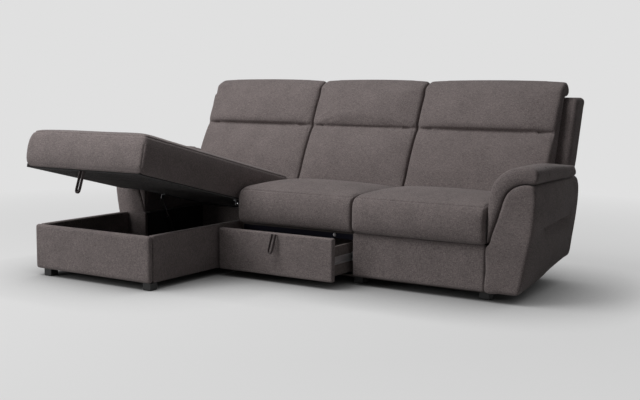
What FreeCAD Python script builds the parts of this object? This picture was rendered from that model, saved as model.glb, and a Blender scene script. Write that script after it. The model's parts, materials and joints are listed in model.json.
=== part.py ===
import FreeCAD, Part
import math
import os
import re
import Sketcher

Vector = FreeCAD.Vector

# Driving dimensions in millimetres.
# X runs along the seats, Y from front to back, Z up from the floor.
# Names ending in _y count back from the plane of the lower front panels.
SIZES = {
    # Seats and boards
    "seat_left_w": 712,
    "seat_mid_w": 702,
    "seat_right_w": 732,
    "front_y": -87.9,
    "floor_gap": 38,
    "low_top": 276,
    "board_t": 18,
    "panel_t": 38,
    "panel_roll": 9,
    "panel_gap": 2,
    "panel_rise": 10,
    "soft_gap": 0.4,
    "board_setback": 44,
    "rear_y": 786,
    "rear_t": 34,
    "rear_rise": 130,
    # Seat cushions
    "seat_top_z": 462,
    "seat_crown": 32,
    "seat_nose": 30,
    "seat_rear_y": 519,
    "seat_seam": 2,
    "seat_lap": 12,
    # Back cushions and shells
    "back_foot_z": 425,
    "back_foot_y": 541,
    "back_rake": 0.482,
    "back_top_z": 1028,
    "groove_z": 785,
    "back_crown": 42,
    "back_side": 79,
    "back_seam": 2,
    "head_lap": 66,
    "shell_foot_z": 400,
    "shell_foot_y": 640,
    "shell_top_z": 966,
    "shell_top_y": 826,
    "shell_top_t": 143,
    "wing_out": 145,
    "wing_foot_z": 578,
    # Arms
    "arm_w": 238,
    "arm_bottom_w": 170,
    "arm_rear_w": 182,
    "arm_body_z": 574,
    "arm_bulge": 12,
    "arm_roll": 10,
    "arm_rise": 9,
    "arm_pad_z": 656,
    "arm_pad_rear_y": 691,
    "arm_pad_drop": 40,
    "pad_narrow": 0.17,
    "arm_play": 1.5,
    # Storage box of the long seat
    "box_reach": 715,
    "box_left_out": 136,
    "box_right_in": 40,
    "return_t": 28,
    "return_lap": 7,
    "return_gap": 2,
    "storage_back_y": 500,
    # Lid, measured from its hinge axis
    "hinge_y": 520,
    "hinge_z": 410,
    "lid_open": 13.5,
    "lid_overhang": 76,
    "lid_drop": 130,
    "lid_top": 74,
    "lid_crown": 26,
    "lid_left_out": 140,
    "lid_right_in": 25,
    "lid_rear": 27,
    "lid_board_inset": 16,
    "lining_t": 1.5,
    "lid_arm_gap": 12,
    "notch_gap": 30,
    # Lid hinges
    "leaf_w": 60,
    "leaf_t": 4,
    "knuckle_r": 8,
    "hinge_pin_r": 5,
    "pin_head_r": 7,
    "fit_gap": 0.05,
    "hinge_inset": 110,
    # Gas struts
    "strut_inset": 24,
    "strut_foot_y": 220,
    "strut_foot_z": 94,
    "strut_head_y": -400,
    "strut_head_z": -148,
    "strut_r": 9,
    "strut_wall": 1.5,
    "strut_body": 150,
    "gland": 12,
    "rod_r": 4,
    "stud_r": 4,
    "eye_r": 9,
    "eye_t": 6,
    "eye_slack": 1,
    "bracket_t": 3,
    # Drawer and its runners
    "drawer_out": 177,
    "drawer_left_gap": 12,
    "drawer_right_gap": 13,
    "drawer_low_z": 39,
    "drawer_top_z": 262,
    "drawer_box_low": 64,
    "drawer_box_top": 214,
    "drawer_depth": 470,
    "drawer_board_t": 12,
    "bay_edge": 3,
    "runner_t": 12.6,
    "runner_low": 122,
    "runner_rise": 45,
    "runner_len": 450,
    "runner_sheet": 1.6,
    "runner_play": 0.4,
    "apron_low": 230,
    # Pull loops
    "loop_w": 18,
    "loop_t": 4,
    "loop_drop": 118,
    "loop_half": 13,
    "lid_loop_x": -802,
    "drawer_loop_x": -19,
    "drawer_loop_drop": 104,
    # Feet
    "foot_w": 50,
    "foot_taper": 4,
    "foot_inset_left": 51,
    "foot_inset_right": 5,
    "foot_inset_front": 15,
    "foot_inset_rear": 70,
}


def make_sheet(doc):
    sheet = doc.addObject("Spreadsheet::Sheet", "Sizes")
    for row, (name, value) in enumerate(SIZES.items(), start=1):
        sheet.set("A%d" % row, name)
        sheet.set("B%d" % row, str(value))
        sheet.setAlias("B%d" % row, name)
    doc.recompute()
    return sheet


class Values:
    """The sheet's numbers, read back by name."""

    def __init__(self, sheet):
        for name in SIZES:
            setattr(self, name, float(getattr(sheet, name)))


def linked(formula):
    """Turn the size names in a formula into references to the sheet."""
    def swap(match):
        word = match.group(0)
        return "Sizes." + word if word in SIZES else word
    return re.sub(r"[A-Za-z_]+", swap, formula)


doc = FreeCAD.newDocument("storage_sofa")
s = Values(make_sheet(doc))
nodes = []

# Seat borders along X, as formulas and as numbers
X_A = "(0 - (seat_left_w + seat_mid_w + seat_right_w) / 2)"
X_B = "(%s + seat_left_w)" % X_A
X_C = "(%s + seat_mid_w)" % X_B
X_D = "((seat_left_w + seat_mid_w + seat_right_w) / 2)"
x_a = -(s.seat_left_w + s.seat_mid_w + s.seat_right_w) / 2
x_b = x_a + s.seat_left_w
x_c = x_b + s.seat_mid_w
x_d = x_c + s.seat_right_w


# Helpers

def keep(obj, label):
    obj.Label = label
    nodes.append(obj)
    return obj


def bind(obj, prop, formula):
    obj.setExpression(prop, linked(formula))


def place(obj, x="0", y="0", z="0"):
    """Bind a placement, with y counted back from the front plane."""
    bind(obj, "Placement.Base.x", x)
    bind(obj, "Placement.Base.y", "front_y + (%s)" % y)
    bind(obj, "Placement.Base.z", z)


def tilt_with_lid(obj):
    """Carry an object that is built about the hinge axis into the raised lid."""
    obj.Placement = FreeCAD.Placement(Vector(), FreeCAD.Rotation(Vector(1, 0, 0), -s.lid_open))
    bind(obj, "Placement.Rotation.Angle", "0 - lid_open")
    place(obj, "0", "hinge_y", "hinge_z")


def board(label, x0, x1, y0, y1, z0, z1):
    """A plain board between two corners, all given as formulas."""
    obj = doc.addObject("Part::Box", label)
    bind(obj, "Length", "(%s) - (%s)" % (x1, x0))
    bind(obj, "Width", "(%s) - (%s)" % (y1, y0))
    bind(obj, "Height", "(%s) - (%s)" % (z1, z0))
    place(obj, x0, y0, z0)
    return keep(obj, label)


def formed(label, shape, on_lid=False):
    """A soft form, built from the sheet's numbers."""
    obj = doc.addObject("Part::Feature", label)
    obj.Shape = shape
    if on_lid:
        tilt_with_lid(obj)
    else:
        place(obj)
    return keep(obj, label)


def new_body(label):
    return doc.addObject("PartDesign::Body", label)


def add_block(body, kind, x0, x1, y0, y1, z0, z1):
    """A box feature of a body, between two corners given as formulas."""
    feature = body.newObject("PartDesign::%sBox" % kind, kind + "Block")
    bind(feature, "Length", "(%s) - (%s)" % (x1, x0))
    bind(feature, "Width", "(%s) - (%s)" % (y1, y0))
    bind(feature, "Height", "(%s) - (%s)" % (z1, z0))
    bind(feature, "Placement.Base.x", x0)
    bind(feature, "Placement.Base.y", y0)
    bind(feature, "Placement.Base.z", z0)
    return feature


TURNS = {
    "X": FreeCAD.Rotation(Vector(0, 1, 0), 90),
    "Y": FreeCAD.Rotation(Vector(1, 0, 0), -90),
    "Z": FreeCAD.Rotation(),
}


def add_round(body, kind, axis, radius, length, x, y, z):
    """A cylinder feature of a body, from its end centre along an axis."""
    feature = body.newObject("PartDesign::%sCylinder" % kind, kind + "Round")
    feature.Placement = FreeCAD.Placement(Vector(), TURNS[axis])
    bind(feature, "Radius", radius)
    bind(feature, "Height", length)
    bind(feature, "Placement.Base.x", x)
    bind(feature, "Placement.Base.y", y)
    bind(feature, "Placement.Base.z", z)
    return feature


BOX_EDGES = ["Edge%d" % i for i in range(1, 13)]


def padded_panel(label, x0, x1, y0, y1, z0, z1, roll="panel_roll"):
    """An upholstered board: a block with every edge rolled over."""
    body = new_body(label)
    block = add_block(body, "Additive", "0", "(%s) - (%s)" % (x1, x0), "0",
                      "(%s) - (%s)" % (y1, y0), "0", "(%s) - (%s)" % (z1, z0))
    doc.recompute()
    fillet = body.newObject("PartDesign::Fillet", "Rolled")
    fillet.Base = (block, BOX_EDGES)
    bind(fillet, "Radius", roll)
    place(body, x0, y0, z0)
    return keep(body, label)


def share_node(label, group):
    """Put alike pieces into one node as separate solids."""
    compound = doc.addObject("Part::Compound", label)
    compound.Links = group
    return keep(compound, label)


def line(p, q):
    return Part.LineSegment(p, q).toShape()


def arc(p, mid, q):
    return Part.Arc(p, mid, q).toShape()


def loop_of(steps):
    """A closed wire from corner points; a step of two points is an arc's middle and end."""
    edges = []
    here = steps[0]
    for step in steps[1:]:
        if isinstance(step, tuple):
            edges.append(arc(here, step[0], step[1]))
            here = step[1]
        else:
            edges.append(line(here, step))
            here = step
    if here.distanceToPoint(steps[0]) > 1e-6:
        edges.append(line(here, steps[0]))
    return Part.Wire(edges)


def loft(wires, ruled=False):
    return Part.makeLoft(wires, True, ruled)


# Storage box, drawer bay and fixed bay

ARM_L0 = "%s + panel_gap" % X_A
ARM_L1 = "%s + panel_gap + board_t" % X_A
ARM_R0 = "%s - panel_gap - board_t" % X_D
ARM_R1 = "%s - panel_gap" % X_D
BOX_L = "%s - box_left_out" % X_A
BOX_R = "%s - box_right_in" % X_B
BAY_L = "%s + board_t" % BOX_R
BAY_R = "%s - bay_edge - board_t" % X_C
FIXED_L = "%s - bay_edge" % X_C
RETURN_FACE = "0 - return_t - return_gap"
REAR_FACE = "rear_y - rear_t"


def make_storage_box():
    """Low padded walls, the floor and the board that carries the hinges."""
    padded_panel("box_front_wall", BOX_L, BOX_R, "0 - box_reach", "panel_t - box_reach",
                 "floor_gap", "low_top", "panel_roll * 2")
    padded_panel("box_left_wall", BOX_L, BOX_L + " + panel_t", "panel_t - box_reach",
                 RETURN_FACE, "floor_gap", "low_top")
    padded_panel("box_right_wall", BOX_R + " - panel_t", BOX_R, "panel_t - box_reach",
                 "storage_back_y", "floor_gap", "low_top")
    padded_panel("box_return_wall", BOX_L, ARM_L1 + " + return_lap", RETURN_FACE,
                 "0 - return_gap", "floor_gap", "low_top")
    padded_panel("storage_back_wall", ARM_L1, BOX_R, "storage_back_y",
                 "storage_back_y + return_t", "floor_gap", "low_top")
    floor = new_body("storage_floor")
    right = BOX_R + " - panel_t"
    add_block(floor, "Additive", BOX_L + " + panel_t", right, "panel_t - box_reach",
              RETURN_FACE, "0", "board_t")
    add_block(floor, "Additive", ARM_L1 + " + return_lap", right, RETURN_FACE,
              "0 - return_gap", "0", "board_t")
    add_block(floor, "Additive", ARM_L1, right, "0 - return_gap", "storage_back_y", "0", "board_t")
    place(floor, "0", "0", "floor_gap")
    keep(floor, "storage_floor")
    board("hinge_board", ARM_L1, BOX_R, "storage_back_y + return_t",
          "storage_back_y + return_t + board_t", "floor_gap", "hinge_z + knuckle_r")


def make_base():
    """Boards of the two right-hand bays, their decks and the rear panel."""
    for label, x0, x1, front in (("arm_board_left", ARM_L0, ARM_L1, "0"),
                                 ("arm_board_right", ARM_R0, ARM_R1, "board_setback")):
        body = new_body(label)
        add_block(body, "Additive", "0", "(%s) - (%s)" % (x1, x0), front, REAR_FACE, "floor_gap", "low_top")
        add_block(body, "Additive", "0", "(%s) - (%s)" % (x1, x0), "storage_back_y + return_t + board_t",
                  REAR_FACE, "low_top", "shell_foot_z")
        place(body, x0, "0", "0")
        keep(body, label)
    board("bay_side_left", BOX_R, BAY_L, "board_setback", REAR_FACE, "floor_gap", "low_top - board_t")
    board("bay_side_right", BAY_R, FIXED_L, "board_setback", REAR_FACE, "floor_gap", "low_top - board_t")
    board("bay_floor", BAY_L, BAY_R, "board_setback", REAR_FACE, "floor_gap", "floor_gap + board_t / 2")
    board("fixed_floor", FIXED_L, ARM_R0, "board_setback", REAR_FACE, "floor_gap", "floor_gap + board_t")
    board("deck_mid", BOX_R, FIXED_L, "board_setback", REAR_FACE, "low_top - board_t", "low_top")
    board("deck_right", FIXED_L, ARM_R0, "board_setback", REAR_FACE, "low_top - board_t", "low_top")
    board("drawer_apron", BAY_L, BAY_R, "board_setback", "board_setback + board_t",
          "apron_low", "low_top - board_t")
    padded_panel("right_front_panel", FIXED_L, "%s - bay_edge" % X_D, "0", "board_setback",
                 "floor_gap + panel_rise", "low_top", "panel_roll * 2")
    padded_panel("rear_panel", "%s + panel_gap" % X_A, "%s - panel_gap" % X_D, REAR_FACE,
                 "rear_y", "rear_rise", "shell_foot_z")
    board("rear_floor", ARM_L1, BOX_R, "storage_back_y + return_t + board_t", REAR_FACE,
          "floor_gap", "floor_gap + board_t")
    for side, x0 in (("left", BOX_R), ("right", "%s - panel_t" % FIXED_L)):
        board("back_post_" + side, x0, x0 + " + panel_t", "rear_y - rear_t - panel_t", REAR_FACE,
              "low_top", "shell_foot_z")


def make_feet():
    """Eight square feet with a chamfered sole, alike, so they share one node."""
    left_x = BOX_L + " + foot_inset_left"
    box_right_x = BOX_R + " - foot_inset_right - foot_w"
    arm_x = "%s - foot_inset_left" % X_D
    box_y = "foot_inset_front - box_reach"
    front_y = "board_setback + foot_inset_front"
    rear_y = "rear_y - foot_inset_rear - foot_w"
    spots = [(left_x, box_y), (box_right_x, box_y), (BAY_R, front_y), (arm_x, front_y),
             (ARM_L0, rear_y), (BOX_R, rear_y), (BAY_R, rear_y), (arm_x, rear_y)]
    group = []
    for number, (x, y) in enumerate(spots, start=1):
        body = new_body("foot_%d" % number)
        block = add_block(body, "Additive", "0", "foot_w", "0", "foot_w", "0", "floor_gap")
        doc.recompute()
        chamfer = body.newObject("PartDesign::Chamfer", "Sole")
        chamfer.Base = (block, ["Face5"])
        bind(chamfer, "Size", "foot_taper")
        place(body, x, y, "0")
        group.append(body)
    share_node("feet", group)


# Soft forms

def seat_profile(x, full):
    """Section of a seat cushion at x; full runs from 0 at a side seam to 1 in the middle."""
    low = s.low_top + s.soft_gap
    nose = -s.seat_nose * (0.35 + 0.65 * full)
    top = s.seat_top_z - 14 * (1 - full)
    crown = top + s.seat_crown * full + 2
    rear = s.seat_rear_y - 4 * (1 - full)
    mid_y = s.seat_rear_y / 2
    return loop_of([
        Vector(x, nose + 16, low),
        (Vector(x, nose, low + 60), Vector(x, nose + 2, top - 50)),
        (Vector(x, nose + 14, top - 14), Vector(x, nose + 52, top)),
        (Vector(x, mid_y, crown), Vector(x, rear - 22, top + 2)),
        (Vector(x, rear - 6, top - 6), Vector(x, rear, top - 26)),
        Vector(x, rear, low),
    ])


def cushion_loft(profile, x0, x1, soft_edge):
    """A crowned cushion between two side seams."""
    span = x1 - x0
    near = [0, 0.12 * soft_edge, 0.45 * soft_edge, 1.2 * soft_edge, 3.2 * soft_edge, span / 2]
    stations = [x0 + d for d in near] + [x1 - d for d in reversed(near[:-1])]
    wires = []
    for x in stations:
        inward = min(x - x0, x1 - x)
        wires.append(profile(x, math.sin(math.pi * inward / span) ** 0.36 if inward > 0 else 0.0))
    return loft(wires, True)


def make_seats():
    seam = s.seat_seam
    formed("seat_cushion_mid", cushion_loft(seat_profile, x_b - s.seat_lap, x_c - seam, 48))
    formed("seat_cushion_right", cushion_loft(seat_profile, x_c + seam, x_d - seam, 48))


def shell_slope():
    return (s.shell_top_y - s.shell_foot_y) / (s.shell_top_z - s.shell_foot_z)


def back_profile(x, full):
    """Section of a back cushion: lumbar roll, sewn groove and head roll."""
    def face(z, crown):
        return s.back_foot_y + (z - s.back_foot_z - 46) * s.back_rake - crown * (0.12 + 0.88 * full)

    def rear(z):
        return s.shell_foot_y + (z - s.shell_foot_z) * shell_slope() - s.soft_gap

    low = s.back_foot_z + 10 * (1 - full)
    top = s.back_top_z - 16 * (1 - full)
    groove = face(s.groove_z, 4)
    ledge = s.shell_top_z + 3
    lumbar_z = (low + s.groove_z) / 2
    head_z = (s.groove_z + top) / 2
    brow_z = top - 24
    return loop_of([
        Vector(x, rear(low), low),
        Vector(x, s.seat_rear_y + 3, low + 4),
        (Vector(x, face(lumbar_z, s.back_crown), lumbar_z), Vector(x, groove, s.groove_z)),
        (Vector(x, face(head_z, s.back_crown), head_z), Vector(x, face(brow_z, 26), brow_z)),
        (Vector(x, face(top, 0) + 46, top + 12 * full + 4), Vector(x, rear(ledge) + s.head_lap, brow_z)),
        Vector(x, rear(ledge) + s.head_lap - 8, ledge), Vector(x, rear(ledge), ledge),
    ])


def make_backs():
    seam = s.back_seam
    spans = {
        "back_cushion_left": (x_a - s.back_side, x_b - seam),
        "back_cushion_mid": (x_b + seam, x_c - seam),
        "back_cushion_right": (x_c + seam, x_d + s.back_side),
    }
    for label, (x0, x1) in spans.items():
        cushion = cushion_loft(back_profile, x0, x1, 48)
        for side in (-1, 1):
            if max(side * x0, side * x1) > x_d:
                cushion = cushion.cut(arm_room(side))
        formed(label, cushion)


def make_shells():
    """Raked outer shells behind the back cushions; the end ones spread into wings."""
    foot_y = "shell_foot_y"
    spans = {
        "back_shell_left": ("%s + panel_gap" % X_A, X_B, "left"),
        "back_shell_mid": (X_B, X_C, None),
        "back_shell_right": (X_C, "%s - panel_gap" % X_D, "right"),
    }
    slope = "(shell_top_y - shell_foot_y) / (shell_top_z - shell_foot_z)"
    wing_y = "shell_foot_y + (wing_foot_z - shell_foot_z) * %s" % slope
    rear_slope = "(shell_top_y + shell_top_t - rear_y) / (shell_top_z - shell_foot_z)"
    wing_rear_y = "rear_y + (wing_foot_z - shell_foot_z) * %s" % rear_slope
    for label, (x0, x1, wing) in spans.items():
        body = new_body(label)
        profile = yz_sketch(body, "Profile", x0)
        outline(profile, [(foot_y, "shell_foot_z"), ("rear_y", "shell_foot_z"),
                          ("shell_top_y + shell_top_t", "shell_top_z"), ("shell_top_y", "shell_top_z")])
        pad_along_x(body, profile, "(%s) - (%s)" % (x1, x0))
        if wing:
            w0 = "%s + panel_gap - wing_out - panel_gap" % X_A if wing == "left" else x1
            side = yz_sketch(body, "Wing", w0)
            outline(side, [(wing_y, "wing_foot_z"), (wing_rear_y, "wing_foot_z"),
                           ("shell_top_y + shell_top_t", "shell_top_z"), ("shell_top_y", "shell_top_z")])
            pad_along_x(body, side, "wing_out + panel_gap")
        place(body)
        keep(body, label)


def yz_sketch(body, name, x):
    """A sketch on the body's YZ plane, moved out to x."""
    plane = [f for f in body.Origin.OriginFeatures if f.Role == "YZ_Plane"][0]
    sketch = body.newObject("Sketcher::SketchObject", name)
    sketch.AttachmentSupport = [(plane, "")]
    sketch.MapMode = "FlatFace"
    bind(sketch, "AttachmentOffset.Base.z", x)
    return sketch


def outline(sketch, points):
    """A closed outline of straight lines through points given as formulas."""
    count = len(points)
    start = [Vector(100 * math.cos(2 * math.pi * i / count), 100 * math.sin(2 * math.pi * i / count), 0)
             for i in range(count)]
    for i in range(count):
        sketch.addGeometry(Part.LineSegment(start[i], start[(i + 1) % count]), False)
    for i in range(count):
        sketch.addConstraint(Sketcher.Constraint("Coincident", i, 2, (i + 1) % count, 1))
    for i, formulas in enumerate(points):
        for kind, formula, value in zip(("DistanceX", "DistanceY"), formulas, (start[i].x, start[i].y)):
            index = sketch.addConstraint(Sketcher.Constraint(kind, -1, 1, i, 1, value))
            bind(sketch, "Constraints[%d]" % index, formula)


def pad_along_x(body, sketch, length):
    pad = body.newObject("PartDesign::Pad", sketch.Name + "Pad")
    pad.Profile = sketch
    bind(pad, "Length", length)
    return pad


# Arms, measured outwards from the seat's side

def band_pairs(drop, narrow):
    """Pairs of points on the outer and inner curve of the arm pad, from its tip up and over."""
    top = s.arm_pad_z - drop
    body = s.arm_body_z + s.soft_gap
    wide = s.arm_w
    pairs = [
        ((2, s.low_top + 2), (8, s.low_top + 6)),
        ((2, s.low_top + 116), (48, s.low_top + 116)),
        ((7, top - 156 + drop), (71, top - 189 + drop)),
        ((28, top - 84 + drop * 0.5), (92, body - 50)),
        ((80, top - 31), (134, body - 14)),
        ((146, top), (180, body)),
        ((212, top - 3), (210, body)),
        ((wide + 12, top - 40), (wide - 4, body + 4)),
    ]
    return [tuple((u * (1 - narrow * (u / wide) ** 2), z) for u, z in pair) for pair in pairs]


def band_wire(side, y, inset, drop, narrow):
    """The pad's section at y, drawn in by inset on both faces."""
    outer, inner = [], []
    for (ou, oz), (iu, iz) in band_pairs(drop, narrow):
        reach = math.hypot(iu - ou, iz - oz)
        step = min(inset, 0.3 * reach) / reach
        outer.append(Vector(side * (x_d + ou + (iu - ou) * step), y, oz + (iz - oz) * step))
        inner.append(Vector(side * (x_d + iu - (iu - ou) * step), y, iz - (iz - oz) * step))
    return loop_of([
        inner[0], outer[0], outer[1], (outer[2], outer[3]), (outer[4], outer[5]), (outer[6], outer[7]),
        inner[7], inner[6], inner[5], (inner[4], inner[3]), (inner[2], inner[1]),
    ])


def arm_room(side):
    """The room an arm takes beside a back cushion, with a little play."""
    play = s.arm_play
    rear = s.arm_pad_rear_y
    wires = []
    for y, drop in ((240, s.arm_pad_drop * 0.15), (rear - 30, s.arm_pad_drop), (rear + 60, s.arm_pad_drop)):
        curve = [Vector(side * (x_d + u - play), y, z + play) for (u, z), _ in band_pairs(drop, 0)]
        low, far = curve[0].z - 90, side * (x_d + 2 * s.arm_w)
        wires.append(loop_of([Vector(curve[0].x, y, low), curve[1], (curve[2], curve[3]), (curve[4], curve[5]),
                              Vector(far, y, curve[5].z), Vector(far, y, low)]))
    return loft(wires, True)


def arm_wire(side, y, inset, bulge, rise, rear):
    """The arm body's section at y, under the pad; rear runs from 0 at the front to 1."""
    gap = s.soft_gap
    pairs = band_pairs(0, s.pad_narrow)
    inner = [(u - 3, z + 1) for _, (u, z) in pairs]
    wide = s.arm_w + (s.arm_rear_w - s.arm_w) * rear + bulge - inset
    foot = s.arm_bottom_w + (s.arm_rear_w - 34 - s.arm_bottom_w) * rear - inset
    low = s.floor_gap + s.arm_rise + rise
    top = s.arm_body_z - gap - (inset if inset else 0)
    lean = inner[1][0] + inset
    corner = s.low_top + 4

    def at(u, z):
        return Vector(side * (x_d + u), y, z)

    return loop_of([
        at(inset + gap - s.panel_gap, low + inset), at(foot, low + inset),
        (at(wide - 26, (low + s.low_top) / 2 + 10), at(wide - 6, s.low_top + 110)),
        (at(wide + 2, s.low_top + 210), at(wide - 10, top)),
        at(min(180, wide - 34) - inset, top),
        at(inner[3][0] + inset, inner[3][1]), at(inner[2][0] + inset, inner[2][1]),
        at(lean, inner[1][1]), at(inset + gap - s.panel_gap, corner - 6),
    ])


def make_arms():
    """Two mirrored arms, each a bulging body and a pad that wraps over it."""
    rear_rise = s.rear_rise - s.floor_gap - s.arm_rise
    for name, side in (("left", -1), ("right", 1)):
        stations = [
            (2, s.arm_roll, 0, 0, 0),
            (6, s.arm_roll * 0.35, 0, 0, 0),
            (16, 0, 0, 2, 0),
            (300, 0, s.arm_bulge, rear_rise * 0.2, 0.15),
            (560, 0, s.arm_bulge * 0.6, rear_rise * 0.6, 0.55),
            (s.rear_y - 18, 0, 0, rear_rise, 1.0),
            (s.rear_y, 14, 0, rear_rise, 1.0),
        ]
        wires = [arm_wire(side, *station) for station in stations]
        body = loft(wires, True)
        rear = s.arm_pad_rear_y
        wires = [band_wire(side, *station) for station in [
            (0, 12, 0, 0), (5, 4, 0, 0), (16, 0, 0, 0), (240, 0, s.arm_pad_drop * 0.15, s.pad_narrow * 0.25),
            (rear - 30, 0, s.arm_pad_drop, s.pad_narrow), (rear - 6, 6, s.arm_pad_drop, s.pad_narrow),
            (rear, 14, s.arm_pad_drop, s.pad_narrow)]]
        pad = loft(wires, True)
        formed("arm_body_" + name, body.cut(pad))
        formed("arm_pad_" + name, pad)


# Lid, built about the hinge axis: y runs from the axis back, z up from it

LID_FRONT = "(0 - hinge_y - box_reach - lid_overhang)"
LID_RIGHT = "(%s - lid_right_in)" % X_B
LID_LEFT = "(%s - lid_left_out)" % X_A
NOTCH_X = "(%s + lid_arm_gap)" % X_A
NOTCH_Y = "(0 - hinge_y - notch_gap)"
lid_front = -(s.hinge_y + s.box_reach + s.lid_overhang)
lid_right = x_b - s.lid_right_in
lid_left = x_a - s.lid_left_out
notch_x = x_a + s.lid_arm_gap
notch_y = -(s.hinge_y + s.notch_gap)


def lid_outline(z, inset, roll):
    """The lid's T-shaped outline at height z, drawn in by inset, with corners of radius roll."""
    left, right = lid_left + inset, lid_right - inset
    front, rear = lid_front + inset, -s.lid_rear - inset
    step_x, step_y = notch_x + inset, notch_y - inset
    corners = [(left, front), (right, front), (right, rear), (step_x, rear), (step_x, step_y), (left, step_y)]
    turns = [1, 1, 1, 1, -1, 1]
    steps = []
    count = len(corners)
    for i, (x, y) in enumerate(corners):
        before, after = corners[i - 1], corners[(i + 1) % count]
        radius = roll if turns[i] > 0 else 12
        into = Vector(before[0] - x, before[1] - y, 0).normalize()
        out = Vector(after[0] - x, after[1] - y, 0).normalize()
        corner = Vector(x, y, z)
        start, end = corner + into * radius, corner + out * radius
        middle = corner + (into + out) * (radius * (1 - math.sqrt(0.5)))
        steps.append((start, middle, end))
    path = [steps[0][2]]
    for start, middle, end in steps[1:] + steps[:1]:
        path.append(start)
        path.append((middle, end))
    return loop_of(path)


def make_lid():
    """The lift-up seat: cushion, board, lining and rear rail."""
    low = -s.lid_drop
    pocket = s.board_t + s.lining_t
    levels = [(low, 8, 26), (low + 8, 1, 30), (low + 0.45 * (s.lid_top - low), -7, 34), (s.lid_top - 24, 1, 34),
              (s.lid_top - 8, 10, 30), (s.lid_top, 26, 30), (s.lid_top + s.lid_crown * 0.7, 120, 30),
              (s.lid_top + s.lid_crown, 220, 30)]
    cushion = loft([lid_outline(*level) for level in levels], True)
    side = s.lid_board_inset - s.soft_gap
    recess = Part.Face(lid_outline(low - 1, side, 1)).extrude(Vector(0, 0, pocket + 1))
    rail_x, rail_w = notch_x + side, lid_right - notch_x - 2 * side
    rail_room = Part.makeBox(rail_w, s.lid_rear + 20, 20 - low, Vector(rail_x, -s.lid_rear, low - 20))
    board_room = Part.makeBox(rail_w, s.lid_rear + 60, 20 + pocket, Vector(rail_x, -s.lid_rear - 40, low - 20))
    formed("lid_cushion", cushion.cut([recess, rail_room, board_room]), True)
    inset = "lid_board_inset"
    for label, z0, z1 in (("lid_board", "lining_t - lid_drop", "lining_t + board_t - lid_drop - soft_gap"),
                          ("lid_lining", "0 - lid_drop", "lining_t - lid_drop")):
        body = new_body(label)
        add_block(body, "Additive", LID_LEFT + " + " + inset, LID_RIGHT + " - " + inset,
                  LID_FRONT + " + " + inset, NOTCH_Y + " - " + inset, z0, z1)
        add_block(body, "Additive", NOTCH_X + " + " + inset, LID_RIGHT + " - " + inset,
                  NOTCH_Y + " - " + inset, "0 - leaf_t * 2", z0, z1)
        tilt_with_lid(body)
        keep(body, label)
    rail = new_body("lid_rear_rail")
    add_block(rail, "Additive", NOTCH_X + " + " + inset, LID_RIGHT + " - " + inset,
              "soft_gap - lid_rear", "0 - leaf_t * 2", "lining_t + board_t - lid_drop - soft_gap", "0")
    tilt_with_lid(rail)
    keep(rail, "lid_rear_rail")


def pull_loop(x, drop, top_y, top_z, lean):
    """A webbing loop in a plane along X, hanging from its two ends and leaning forward."""
    half, thick = s.loop_half, s.loop_t
    turn = math.radians(lean)

    def at(dx, down):
        return Vector(x + dx, top_y - down * math.sin(turn), top_z - down * math.cos(turn))

    outer = loop_of([at(-half, 0), at(-half, drop - half), (at(0, drop), at(half, drop - half)), at(half, 0)])
    bore = half - thick
    inner = loop_of([at(-bore, -1), at(-bore, drop - half), (at(0, drop - thick), at(bore, drop - half)),
                     at(bore, -1)])
    width = Vector(0, s.loop_w * math.cos(turn), -s.loop_w * math.sin(turn))
    return Part.Face(outer).extrude(width).cut(Part.Face(inner).extrude(width))


def make_loops():
    """Webbing pull loops under the lid's front edge and on the drawer's front."""
    formed("lid_pull_loop", pull_loop(s.lid_loop_x, s.loop_drop, lid_front + s.lid_board_inset + 4,
                                      -s.lid_drop, 0), True)
    formed("drawer_pull_loop", pull_loop(s.drawer_loop_x, s.drawer_loop_drop,
                                         -s.drawer_out - s.loop_w * 0.97, s.drawer_top_z - 4, 14))


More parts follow.
